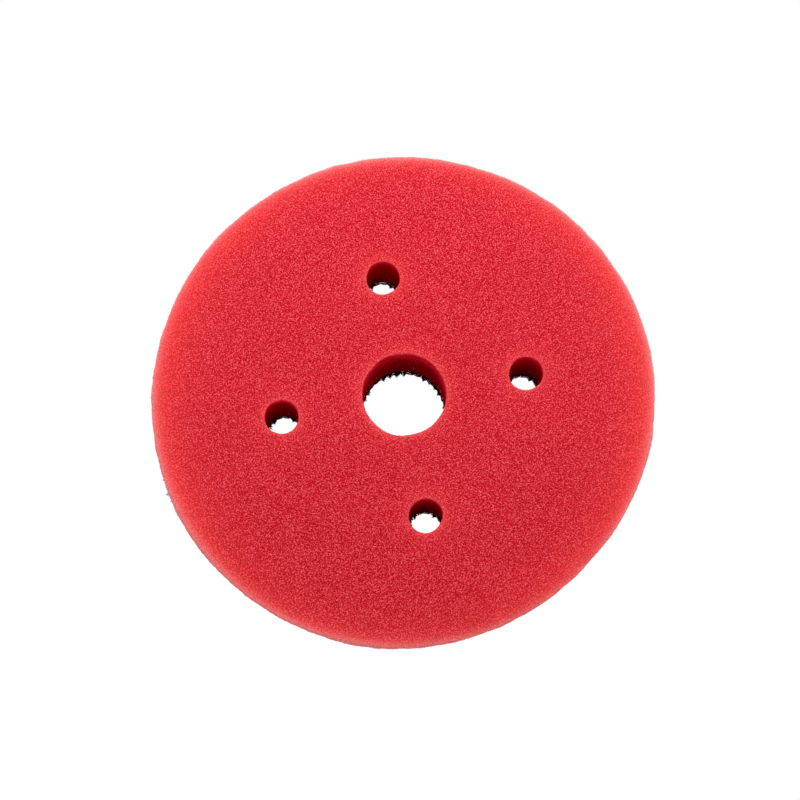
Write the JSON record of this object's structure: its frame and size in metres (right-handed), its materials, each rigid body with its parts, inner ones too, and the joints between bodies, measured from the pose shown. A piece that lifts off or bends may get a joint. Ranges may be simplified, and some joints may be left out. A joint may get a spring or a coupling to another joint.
{
  "type": "foam polishing pad",
  "caption": "Round foam polishing pad with a slightly rounded working edge, a centre hole, vent holes and a hook-and-loop backing, for a dual action polisher.",
  "frame": {"origin": "centre of the loop face, where the pad rests when it lies with its working face up", "axes": "+Z from the loop face to the working face, along the centre hole; the vent holes lie on the X and Y axes"},
  "size_m": [0.15, 0.15, 0.025],
  "materials": {
    "foam": "matte",
    "film": "satin",
    "cloth": "matte",
    "pile": "matte"
  },
  "bodies": {
    "root": {"foam_pad": "foam", "bond_film": "film", "backing_cloth": "cloth", "loop_pile": "pile"}
  },
  "joints": []
}
